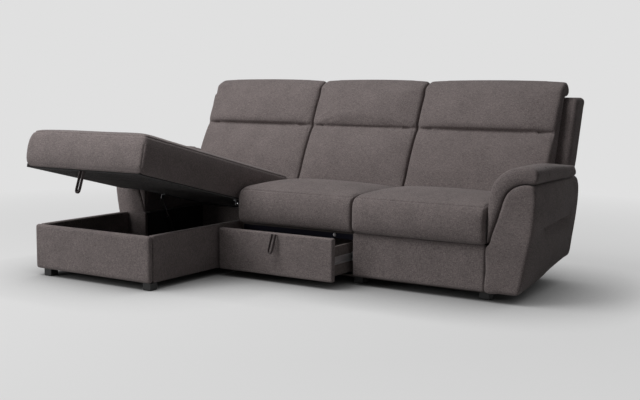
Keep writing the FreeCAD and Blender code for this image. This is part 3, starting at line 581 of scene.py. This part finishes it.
def back(name, x0, x1, left_end, right_end):
    low = 0.427

    def rear_face(z):
        return 0.6396 + (z - 0.4) * 0.3286

    def profile(x):
        f = full_at(x, x0, x1, 0.3)
        c = 0.35 + 0.65 * f
        top = TOP_Z - 0.007 * (1 - math.sin(math.pi * (x - x0) / (x1 - x0)))
        face = back_face
        return [
            (rear_face(low) - 0.005, low), (0.530, low + 0.002), (0.523, low + 0.02),
            (face(0.52) - 0.024 * c, 0.52), (face(0.60) - 0.037 * c, 0.60), (face(0.68) - 0.037 * c, 0.68),
            (face(0.74) - 0.026 * c, 0.74), (face(GROOVE_Z - 0.014) - 0.010 * c, GROOVE_Z - 0.014),
            (face(GROOVE_Z) + 0.018 * c - 0.006 * (1 - c), GROOVE_Z),
            (face(GROOVE_Z + 0.008) - 0.018 * c, GROOVE_Z + 0.007), (face(0.815) - 0.038 * c, 0.812),
            (face(0.90) - 0.046 * c, 0.90), (face(0.97) - 0.040 * c, 0.97),
            (face(top - 0.025) - 0.022, top - 0.025),
            (face(top) + 0.006, top), (face(top) + 0.044, top + 0.010 + 0.004 * f),
            (0.880, top - 0.004), (0.893, top - 0.026), (0.893, 0.990), (0.880, 0.972), (0.845, 0.970),
            (rear_face(0.952), 0.950), (rear_face(0.90), 0.90), (rear_face(0.75), 0.75),
            (rear_face(0.60), 0.60),
        ]

    obj = along_x(name, x0, x1, profile, 0.019, 190)
    remesh(obj, 0.009)
    trim_for_arm(obj, left_end, right_end)
    groove = [(x, FRONT + back_face(GROOVE_Z) + 0.001, GROOVE_Z)
              for x in np.linspace(x0 + 0.028, x1 - 0.028, 30)]

    def held(co):
        near = np.exp(-(distance_to(co, groove)[0] / 0.014) ** 2)
        side = np.clip((0.02 - np.minimum(co[:, 0] - x0, x1 - co[:, 0])) / 0.012, 0, 1)
        rear = (co[:, 1] - FRONT > np.minimum(rear_face(co[:, 2]), 0.88) - 0.02).astype(float)
        foot = np.clip((low + 0.05 - co[:, 2]) / 0.03, 0, 1)
        return np.maximum.reduce([near, side, rear, foot])

    puff(obj, 5.0, 0.013, held)
    refine(obj)
    sew(obj, groove, 0.017, 0.0075, fade=0.22, pucker=0.0008)
    for x in (x0 + 0.014, x1 - 0.014):
        edge = [(x, FRONT + back_face(z) - 0.004, z) for z in np.linspace(low + 0.03, TOP_Z - 0.03, 24)]
        sew(obj, edge, 0.0038, 0.0045)
    trim_for_arm(obj, left_end, right_end)
    co = get_co(obj)
    co[:, 0] = np.clip(co[:, 0], x0, x1)
    set_co(obj, co)
    return finish_soft(obj, "frame", [name])


def trim_for_arm(obj, left_end, right_end):
    co = get_co(obj)
    if right_end:
        co[:, 0] = np.minimum(co[:, 0], X_D + arm_face(co[:, 2]) - 0.002)
    if left_end:
        co[:, 0] = np.maximum(co[:, 0], X_A - arm_face(co[:, 2]) + 0.002)
    set_co(obj, co)


# Back shells with their wings

def shell(name, x0, x1, wing):
    def face(z):
        return 0.640 + (z - 0.4) * 0.3286

    def rear(z):
        return 0.786 + (z - 0.4) * 0.3233

    def profile(low, top):
        def at(x):
            points = [(face(low) + 0.004, low), (face(low), low + 0.006)]
            points += [(face(z), z) for z in np.linspace(low + 0.05, top - 0.05, 6)]
            points += [(face(top), top - 0.008), (face(top) + 0.008, top),
                       (rear(top) - 0.02, top), (rear(top), top - 0.018)]
            points += [(rear(z), z) for z in np.linspace(top - 0.06, low + 0.06, 6)]
            points += [(rear(low), low + 0.018), (rear(low) - 0.018, low), (face(low) + 0.05, low)]
            return points
        return at

    obj = along_x(name, x0, x1, profile(0.4, 0.966), 0.010)
    if wing:
        w0, w1 = (X_A - 0.145, X_A + 0.03) if wing == "left" else (X_D - 0.03, X_D + 0.145)
        side = along_x(name + "_wing", w0, w1, profile(0.578, 0.966), 0.030)
        bm = bmesh.new()
        bm.from_mesh(obj.data)
        bm.from_mesh(side.data)
        bm.to_mesh(obj.data)
        bm.free()
        bpy.data.objects.remove(side)
    remesh(obj, 0.010)
    refine(obj)
    if wing:
        sign = -1 if wing == "left" else 1
        edge = X_A if wing == "left" else X_D
        seam_x = edge + sign * 0.118
        path = [(seam_x, FRONT + face(z), z) for z in np.linspace(0.60, 0.95, 12)]
        sew(obj, path, 0.0025, 0.005)
    co = get_co(obj)
    low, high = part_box(name)
    set_co(obj, np.clip(co, np.array(low), np.array(high)))
    return finish_soft(obj, "frame", [name])


# Arms, built on the right and mirrored

PAD_OUTER = [(0.002, 0.278), (0.002, 0.335), (0.002, 0.392), (0.003, 0.45), (0.007, 0.500), (0.015, 0.54),
             (0.028, 0.572), (0.050, 0.602), (0.080, 0.626), (0.112, 0.643), (0.150, 0.653), (0.190, 0.655),
             (0.222, 0.651), (0.240, 0.640), (0.248, 0.618)]
PAD_INNER = [(0.008, 0.282), (0.028, 0.337), (0.048, 0.392), (0.060, 0.43), (0.071, 0.467), (0.080, 0.496),
             (0.093, 0.524), (0.112, 0.546), (0.135, 0.561), (0.158, 0.570), (0.182, 0.5745), (0.205, 0.5745),
             (0.220, 0.575), (0.230, 0.577), (0.236, 0.581)]
ARM_REAR = 0.786


def pad_ring(y, drop, inset, narrow):
    """The arm pad's section.

    drop lowers its crest, inset draws both faces in, and narrow pulls its outer edge in.
    """
    outer, inner = [], []
    for i, ((ou, oz), (iu, iz)) in enumerate(zip(PAD_OUTER, PAD_INNER)):
        share = min(max((oz - 0.45) / 0.18, 0), 1)
        oz = oz - drop * share * (1 if i < 12 else 0.7)
        iz = iz - 0.012 * drop / 0.044 * min(max((iz - 0.5) / 0.06, 0), 1)
        reach = math.hypot(iu - ou, iz - oz)
        step = min(inset, 0.42 * reach) / reach
        outer.append((ou + (iu - ou) * step, oz + (iz - oz) * step))
        inner.append((iu - (iu - ou) * step, iz - (iz - oz) * step))
    ring = outer + [(outer[-1][0] - 0.002, (outer[-1][1] + inner[-1][1]) / 2 - 0.006)]
    ring += list(reversed(inner)) + [((outer[0][0] + inner[0][0]) / 2, outer[0][1] - 0.002)]
    return [(X_D + u * (1 - narrow * min(max(u / 0.24, 0), 1) ** 2), FRONT + y, z)
            for u, z in curve_through(ring, 170)]


def mirror(obj, name):
    data = obj.data.copy()
    co = np.empty(len(data.vertices) * 3)
    data.vertices.foreach_get("co", co)
    co = co.reshape(-1, 3)
    co[:, 0] *= -1
    data.vertices.foreach_set("co", co.ravel())
    data.flip_normals()
    other = bpy.data.objects.new(name, data)
    scene.collection.objects.link(other)
    return other


def arm_pad():
    radius, rear = 0.020, 0.691
    rings = []
    for y in stations(0.0, rear, radius, 0.03):
        t = min(max(y - 0.25, 0) / (rear - 0.25), 1)
        inset = end_inset(min(y, rear - y), radius)
        rings.append(pad_ring(y, 0.044 * t ** 1.3, inset, 0.2 * (y / rear) ** 1.5))
    obj = loft("arm_pad_right", rings)
    remesh(obj, 0.006)

    def held(co):
        inner = (co[:, 0] - X_D < 0.004).astype(float)
        low = np.clip((0.30 - co[:, 2]) / 0.01, 0, 1)
        front = [(X_D + u, FRONT + 0.016, z) for u, z in PAD_OUTER]
        near = np.exp(-(distance_to(co, front)[0] / 0.008) ** 2)
        return np.maximum.reduce([inner, low, near])

    puff(obj, 3.5, 0.004, held, 6)
    refine(obj)
    for side in (PAD_OUTER, PAD_INNER):
        path = [(X_D + u, FRONT + 0.017, z) for u, z in side]
        sew(obj, path, 0.0042, 0.0036)
    across = [(X_D + 0.225, FRONT + 0.165, z) for z in (0.655, 0.64)] + [(X_D + 0.25, FRONT + 0.165, 0.60)]
    sew(obj, across, 0.004, 0.004)
    return obj


def arm_ring(y, inset):
    """The arm body's section below the pad."""
    t = min(max(y / ARM_REAR, 0), 1)
    wide = 0.238 + (0.182 - 0.238) * t ** 1.2 + 0.012 * math.sin(math.pi * min(t * 1.15, 1))
    foot = 0.168 + (0.140 - 0.168) * t
    low = 0.047 + 0.083 * t ** 1.2
    top = 0.5735 - 0.012 * t
    inner = [(-0.0015, low), (-0.0015, 0.15), (-0.0015, 0.270), (0.010, 0.276), (0.029, 0.334),
             (0.049, 0.389), (0.061, 0.427), (0.072, 0.464), (0.081, 0.493), (0.094, 0.521), (0.113, 0.543),
             (0.136, 0.5585)]
    if wide > 0.215:
        inner += [(0.16, 0.568), (0.185, top)]
    ring = inner + [(min(wide - 0.03, 0.2), top), (wide - 0.012, top - 0.006), (wide - 0.002, top - 0.03)]
    ring += [(foot + (wide - foot) * u, low + (0.50 - low) * s) for s, u in
             ((1.0, 1.03), (0.85, 0.985), (0.7, 0.90), (0.5, 0.68), (0.3, 0.42), (0.12, 0.20), (0.03, 0.05))]
    ring += [(foot - 0.004, low + 0.003), (foot - 0.02, low), (0.08, low)]
    ring = shrink(curve_through(ring, 200), inset)
    return [(X_D + u, FRONT + y, z) for u, z in ring]


def arm_body():
    front, radius = 0.002, 0.013
    rings = [arm_ring(y, end_inset(min(y - front, ARM_REAR - y), radius))
             for y in stations(front, ARM_REAR, radius, 0.03)]
    obj = loft("arm_body_right", rings)
    remesh(obj, 0.008)
    beyond = X_D + 0.30
    tuck = [(beyond, FRONT + y, 0.351 + 0.014 * (y - 0.12) / 0.44) for y in np.linspace(0.10, 0.60, 12)]

    def flat(points):
        """The arm's outer side moved into the tuck's plane, so that only y and z count there."""
        out = points.copy()
        out[:, 0] = np.where(out[:, 0] > X_D + 0.13, beyond, out[:, 0])
        return out

    def held(co):
        inner = (co[:, 0] - X_D < 0.01).astype(float)
        near = np.exp(-(distance_to(flat(co), tuck)[0] / 0.02) ** 2)
        front = np.clip((FRONT + 0.02 - co[:, 1]) / 0.01, 0, 1) * 0.8
        top = (co[:, 2] > 0.56).astype(float)
        low = np.clip((0.09 - co[:, 2]) / 0.02, 0, 1)
        return np.maximum.reduce([inner, near, front, top, low])

    puff(obj, 4.0, 0.009, held, 8)
    refine(obj)
    co = get_co(obj)
    d, where, length = distance_to(flat(co), tuck)
    fade = np.clip(np.minimum(where, length - where) / 0.12, 0, 1)
    side = np.clip((co[:, 0] - X_D - 0.15) / 0.03, 0, 1)
    above = co[:, 2] > 0.358
    pull = np.exp(-(d / np.where(above, 0.007, 0.035)) ** 2) * fade * side * 0.019
    co[:, 0] -= pull
    set_co(obj, co)
    return obj


def make_arms():
    for maker, name, fill in ((arm_pad, "arm_pad", 0.85), (arm_body, "arm_body", 0.9)):
        right = maker()
        left = mirror(right, name + "_left")
        finish_soft(right, "frame", [name + "_right"])
        finish_soft(left, "frame", [name + "_left"])


# The lift-up seat, built flat and turned up about its hinge

LID_LEFT = X_A - 0.140
LID_RIGHT = X_B - 0.025
LID_FRONT = -0.791
LID_REAR = 0.493


def lid_outline(inset, corner):
    """T-shaped outline from above, in the lid's own closed place, as y back from the front plane."""
    left, right = LID_LEFT + inset, LID_RIGHT - inset
    front, rear = LID_FRONT + inset, LID_REAR - inset
    step_x, step_y = X_A + 0.012 + inset, -0.030 - inset
    corners = [(left, front), (right, front), (right, rear), (step_x, rear), (step_x, step_y), (left, step_y)]
    points = []
    count = len(corners)
    for i, (x, y) in enumerate(corners):
        before, after = np.array(corners[i - 1]), np.array(corners[(i + 1) % count])
        here = np.array((x, y))
        r = 0.015 if i == 4 else (corner if i != 0 else max(corner, 0.045))
        into = (before - here) / np.linalg.norm(before - here)
        out = (after - here) / np.linalg.norm(after - here)
        centre = here + (into + out) * r
        for a in np.linspace(0, math.pi / 2, 7):
            points.append(centre - out * r * math.cos(a) - into * r * math.sin(a))
    dense = []
    for p, q in zip(points, points[1:] + points[:1]):
        steps = max(int(np.linalg.norm(q - p) / 0.02), 1)
        dense += [p + (q - p) * t for t in np.linspace(0, 1, steps, endpoint=False)]
    return np.array(dense)


def resample(ring, count):
    closed = np.vstack([ring, ring[:1]])
    step = np.r_[0, np.cumsum(np.linalg.norm(np.diff(closed, axis=0), axis=1))]
    where = np.linspace(0, step[-1], count, endpoint=False)
    return np.stack([np.interp(where, step, closed[:, k]) for k in (0, 1)], axis=1)


LID_LOW = HINGE.z - 0.130


def raise_lid(co):
    """Turn closed-place points up about the hinge to the photographed place."""
    out = co.copy()
    y, z = co[:, 1] - HINGE.y, co[:, 2] - HINGE.z
    c, s = math.cos(LID_OPEN), math.sin(LID_OPEN)
    out[:, 1] = HINGE.y + y * c + z * s
    out[:, 2] = HINGE.z - y * s + z * c
    return out


def lid():
    levels = [(0.0, 0.032), (0.003, 0.017), (0.011, 0.007), (0.024, 0.001), (0.038, -0.003), (0.06, -0.0055),
              (0.11, -0.0065), (0.15, -0.003), (0.176, 0.004), (0.190, 0.010), (0.199, 0.018), (0.206, 0.040),
              (0.212, 0.075), (0.220, 0.13), (0.226, 0.19), (0.229, 0.26)]
    rings = []
    for height, inset in levels:
        ring = resample(lid_outline(inset, 0.018 if inset < 0.05 else 0.05), 400)
        rings.append([(x, FRONT + y, LID_LOW + height) for x, y in ring])
    obj = loft("lid_cushion_soft", rings)
    remesh(obj, 0.011)
    top_seam = [(x, FRONT + y, LID_LOW + 0.191) for x, y in lid_outline(0.0105, 0.018)]
    top_seam.append(top_seam[0])
    low_seam = [(x, FRONT + y, LID_LOW + 0.016) for x, y in lid_outline(0.0015, 0.018)]
    low_seam.append(low_seam[0])

    def held(co):
        near = np.exp(-(distance_to(co, top_seam)[0] / 0.012) ** 2)
        under = (co[:, 2] < LID_LOW + 0.02).astype(float)
        rear = (co[:, 1] > FRONT + 0.47).astype(float)
        notch = ((co[:, 0] < X_A + 0.03) & (co[:, 1] > FRONT - 0.05)).astype(float)
        return np.maximum.reduce([near, under, rear, notch])

    puff(obj, 5.0, 0.012, held)
    refine(obj)
    sew(obj, top_seam, 0.0065, 0.0045, pucker=0.0005)
    sew(obj, low_seam, 0.0030, 0.0045)
    post = [(LID_RIGHT - 0.002, FRONT + LID_FRONT + 0.002, z)
            for z in np.linspace(LID_LOW + 0.02, LID_LOW + 0.186, 8)]
    sew(obj, post, 0.0045, 0.005)
    co = get_co(obj)
    co[:, 2] = np.maximum(co[:, 2], LID_LOW)
    set_co(obj, raise_lid(co))
    return finish_soft(obj, "lid", ["lid_cushion"])


# Padded boards of the base

def padded_board(node, radius, body="frame"):
    """An upholstered board with soft edges and slightly swollen faces, in its node's box."""
    low, high = (np.array(c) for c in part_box(node))
    size = high - low
    radius = min(radius, 0.49 * size.min())
    cells = [max(int(round(s / 0.02)), 2) for s in size]
    obj = new_mesh(node + "_soft", *grid_box(low, size, cells, radius))
    fix_normals(obj)
    co = get_co(obj)
    inner = (co - low) / size
    thin = int(np.argmin(size))
    others = [k for k in range(3) if k != thin]
    swell = np.ones(len(co))
    for k in others:
        swell *= np.clip(4 * inner[:, k] * (1 - inner[:, k]), 0, 1) ** 0.35
    side = np.sign(inner[:, thin] - 0.5)
    crown = 0.002
    co[:, thin] += side * (swell - 1) * crown
    wave = 0.0007
    first, second = (co[:, k] * 2 * math.pi for k in others)
    ripple = wave * np.sin(first / 0.19 + 1.3) * np.sin(second / 0.11)
    co[:, thin] += side * swell * (ripple - wave)
    set_co(obj, co)
    refine(obj)
    return finish_soft(obj, body, [node])


def grid_box(low, size, cells, radius):
    """Vertices and faces of a rounded box whose faces are even grids."""
    verts, index, faces = [], {}, []

    def spread(k):
        n = cells[k]
        inner = np.linspace(radius / size[k], 1 - radius / size[k], n + 1)
        edge = [radius / size[k] * (1 - math.cos(a)) for a in np.linspace(0, math.pi / 2, 5)][:-1]
        return list(edge) + list(inner) + [1 - e for e in reversed(edge)]

    lines = [spread(k) for k in range(3)]

    def vert(i, j, k):
        key = (i, j, k)
        if key not in index:
            p = np.array([lines[0][i], lines[1][j], lines[2][k]]) * size
            q = np.clip(p, radius, size - radius)
            d = p - q
            grid = np.abs(d).max()
            length = np.linalg.norm(d)
            if length > 1e-9:
                p = q + d / length * min(radius, grid if np.count_nonzero(np.abs(d) > 1e-9) == 1 else radius)
            index[key] = len(verts)
            verts.append(low + p)
        return index[key]

    last = [len(line) - 1 for line in lines]
    for axis in range(3):
        a, b = [k for k in range(3) if k != axis]
        for end in (0, last[axis]):
            for i in range(last[a]):
                for j in range(last[b]):
                    quad = []
                    for di, dj in ((0, 0), (1, 0), (1, 1), (0, 1)):
                        at = [0, 0, 0]
                        at[axis], at[a], at[b] = end, i + di, j + dj
                        quad.append(vert(*at))
                    faces.append(quad)
    return verts, faces


def make_boards():
    for node, radius in (("box_front_wall", 0.016), ("box_left_wall", 0.009), ("box_right_wall", 0.009),
                         ("box_return_wall", 0.009), ("storage_back_wall", 0.009), ("rear_panel", 0.009),
                         ("right_front_panel", 0.014)):
        padded_board(node, radius)
    padded_board("drawer_front", 0.010, body="drawer")


# Webbing loops

def strap(name, path, across, width, thick, body, node):
    """A stiff woven strap along a path; across is its width direction."""
    path = curve_through(path, 60, closed=False)
    rings = []
    for i, p in enumerate(path):
        ahead = path[min(i + 1, len(path) - 1)] - path[max(i - 1, 0)]
        ahead /= np.linalg.norm(ahead)
        wide = np.array(across) / np.linalg.norm(across)
        out = np.cross(ahead, wide)
        ring = []
        for a in np.linspace(0, 2 * math.pi, 20, endpoint=False):
            c, s = math.cos(a), math.sin(a)
            sideways = wide * width / 2 * np.sign(c) * abs(c) ** 0.35
            outward = out * thick / 2 * np.sign(s) * abs(s) ** 0.7
            ring.append(tuple(p + sideways + outward))
        rings.append(ring)
    obj = loft(name, rings)
    smooth(obj)
    paint(obj, WEBBING)
    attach(obj, body)
    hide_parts(node)
    return obj


def make_loops():
    half, thick, width = 0.013, 0.004, 0.018
    for name, x, top, drop, lean, body in (
            ("lid_strap", -0.802, (-0.771 + width / 2, LID_LOW + 0.002), 0.118, 0.0, "lid"),
            ("drawer_strap", -0.019, (-0.177 - 0.5 * width, 0.258), 0.104, math.radians(14), "drawer")):
        r = half - thick / 2
        path = []
        for dx, down in ((-r, 0), (-r, 0.3), (-r, 0.6), (-r * 0.98, 0.84), (-r * 0.75, 0.94), (0, 1.0),
                         (r * 0.75, 0.94), (r * 0.98, 0.84), (r, 0.6), (r, 0.3), (r, 0)):
            down *= drop - thick / 2
            y = FRONT + top[0] - down * math.sin(lean)
            z = top[1] - down * math.cos(lean)
            path.append((x + dx - 0.11 * down, y, z))
        path = np.array(path)
        across = np.array([[0, math.cos(lean), -math.sin(lean)]])
        if body == "lid":
            path = raise_lid(path)
            across = raise_lid(across + np.array(HINGE)) - np.array(HINGE)
        strap(name, path, across[0], width, thick, body, body + "_pull_loop")


def make_plug():
    """A small moulded plug in the apron above the drawer."""
    profile = [(0.0055, 0.0068), (0.0072, 0.0058), (0.0078, 0.003), (0.0095, 0.0014), (0.010, 0.0)]
    verts, faces = [], []
    count = 28
    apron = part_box("drawer_apron")
    for r, out in profile:
        for a in np.linspace(0, 2 * math.pi, count, endpoint=False):
            verts.append((0.206 + r * math.cos(a), apron[0].y - out, 0.247 + r * math.sin(a)))
    rows = len(profile)
    for i in range(rows - 1):
        for j in range(count):
            k = (j + 1) % count
            faces.append((i * count + j, i * count + k, (i + 1) * count + k, (i + 1) * count + j))
    faces.append(tuple(range(count)))
    faces.append(tuple(reversed(range((rows - 1) * count, rows * count))))
    obj = new_mesh("apron_plug", verts, faces)
    fix_normals(obj)
    smooth(obj)
    paint(obj, PLUG)
    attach(obj, "frame")


# Studio

FLOOR_HALF = 30
FLOOR_TONE = 0.84
BACKDROP = (*rgb(224, 224, 224), 1)


def make_stage():
    """A flat floor.

    Camera, glossy and transmission rays see a light floor that nears the backdrop's tone with distance
    and carries a painted contact shadow where the object closes it in. All other rays meet a darker grey.
    """
    floor = new_mesh("studio_floor", *flat_square(FLOOR_HALF))
    smooth(floor)
    n = Nodes("studio_paint")
    grain = n.noise((3, 3, 3), 2.0, 0.5)
    tone = n.ramp(grain.outputs["Fac"], (0.34, 0.34, 0.34), (0.36, 0.36, 0.36))
    n.tree.links.new(tone, n.shader.inputs["Base Color"])
    n.shader.inputs["Roughness"].default_value = 0.9
    n.shader.inputs["Specular IOR Level"].default_value = 0.1
    seen = n.add("ShaderNodeBsdfDiffuse")
    seen.inputs["Color"].default_value = (FLOOR_TONE, FLOOR_TONE, FLOOR_TONE, 1)
    far = n.add("ShaderNodeEmission")
    far.inputs["Color"].default_value = BACKDROP
    # Painted contact shadow: ambient occlusion dims the floor's glow near the object
    painted_shadow_reach, painted_shadow_power = 0.55, 2.0
    painted_contact_shadow = n.add("ShaderNodeAmbientOcclusion", Distance=painted_shadow_reach)
    n.tree.links.new(n.math("POWER", painted_contact_shadow.outputs["AO"], painted_shadow_power), far.inputs["Strength"])
    place = n.add("ShaderNodeNewGeometry")
    length = n.add("ShaderNodeVectorMath", operation="LENGTH")
    n.link(place, "Position", length, 0)
    near_edge, slope, near_share, added_share = 1.7, 0.3, 0.67, 0.33
    reach = n.math("MULTIPLY", n.math("SUBTRACT", length.outputs["Value"], near_edge), slope, True)
    reach = n.math("ADD", n.math("MULTIPLY", reach, added_share), near_share)
    near_far = n.add("ShaderNodeMixShader")
    n.tree.links.new(reach, near_far.inputs[0])
    n.link(seen, "BSDF", near_far, 1)
    n.link(far, "Emission", near_far, 2)
    path = n.add("ShaderNodeLightPath")
    either = n.math("MAXIMUM", path.outputs["Is Camera Ray"], path.outputs["Is Glossy Ray"])
    either = n.math("MAXIMUM", either, path.outputs["Is Transmission Ray"])
    mix = n.add("ShaderNodeMixShader")
    n.tree.links.new(either, mix.inputs[0])
    n.link(n.shader, "BSDF", mix, 1)
    n.link(near_far, "Shader", mix, 2)
    n.link(mix, "Shader", n.tree.nodes["Material Output"], "Surface")
    paint(floor, n.material)


def flat_square(half):
    """Vertices and face of a flat square on the ground."""
    verts = [(-half, -half, 0), (half, -half, 0), (half, half, 0), (-half, half, 0)]
    return verts, [(0, 1, 2, 3)]


def area_light(name, place, target, size, power, color=(1, 1, 1)):
    data = bpy.data.lights.new(name, "AREA")
    data.shape = "RECTANGLE"
    data.size, data.size_y = size
    data.energy = power
    data.color = color
    light = bpy.data.objects.new(name, data)
    light.location = place
    light.rotation_euler = (Vector(target) - Vector(place)).to_track_quat("-Z", "Y").to_euler()
    scene.collection.objects.link(light)


def make_light():
    area_light("key", (-1.6, -2.2, 4.6), (0, 0.1, 0.4), (3.0, 3.0), 174)
    area_light("front", (-3.2, -4.6, 1.6), (0, 0.0, 0.4), (2.0, 1.6), 42)
    world = bpy.data.worlds.new("studio")
    scene.world = world
    world.use_nodes = True
    tree = world.node_tree
    back = tree.nodes["Background"]
    back.inputs["Color"].default_value = (1, 1, 1, 1)
    back.inputs["Strength"].default_value = 0.068
    seen = tree.nodes.new("ShaderNodeBackground")
    seen.inputs["Color"].default_value = BACKDROP
    seen.inputs["Strength"].default_value = 1.0
    path = tree.nodes.new("ShaderNodeLightPath")
    either = tree.nodes.new("ShaderNodeMath")
    either.operation = "MAXIMUM"
    through = tree.nodes.new("ShaderNodeMath")
    through.operation = "MAXIMUM"
    mix = tree.nodes.new("ShaderNodeMixShader")
    tree.links.new(path.outputs["Is Camera Ray"], either.inputs[0])
    tree.links.new(path.outputs["Is Glossy Ray"], either.inputs[1])
    tree.links.new(either.outputs[0], through.inputs[0])
    tree.links.new(path.outputs["Is Transmission Ray"], through.inputs[1])
    tree.links.new(through.outputs[0], mix.inputs[0])
    tree.links.new(back.outputs[0], mix.inputs[1])
    tree.links.new(seen.outputs[0], mix.inputs[2])
    tree.links.new(mix.outputs[0], tree.nodes["World Output"].inputs["Surface"])


make_camera()
dress_frame()
seat("seat_cushion_mid", *(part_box("seat_cushion_mid")[k].x for k in (0, 1)), 0.011)
seat("seat_cushion_right", *(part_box("seat_cushion_right")[k].x for k in (0, 1)), 0.020)
back("back_cushion_left", X_A - 0.079, X_B - 0.003, True, False)
back("back_cushion_mid", X_B + 0.003, X_C - 0.003, False, False)
back("back_cushion_right", X_C + 0.003, X_D + 0.079, False, True)
shell("back_shell_left", X_A + 0.002, X_B, "left")
shell("back_shell_mid", X_B, X_C, None)
shell("back_shell_right", X_C, X_D - 0.002, "right")
make_arms()
lid()
make_boards()
make_loops()
make_plug()
make_stage()
make_light()
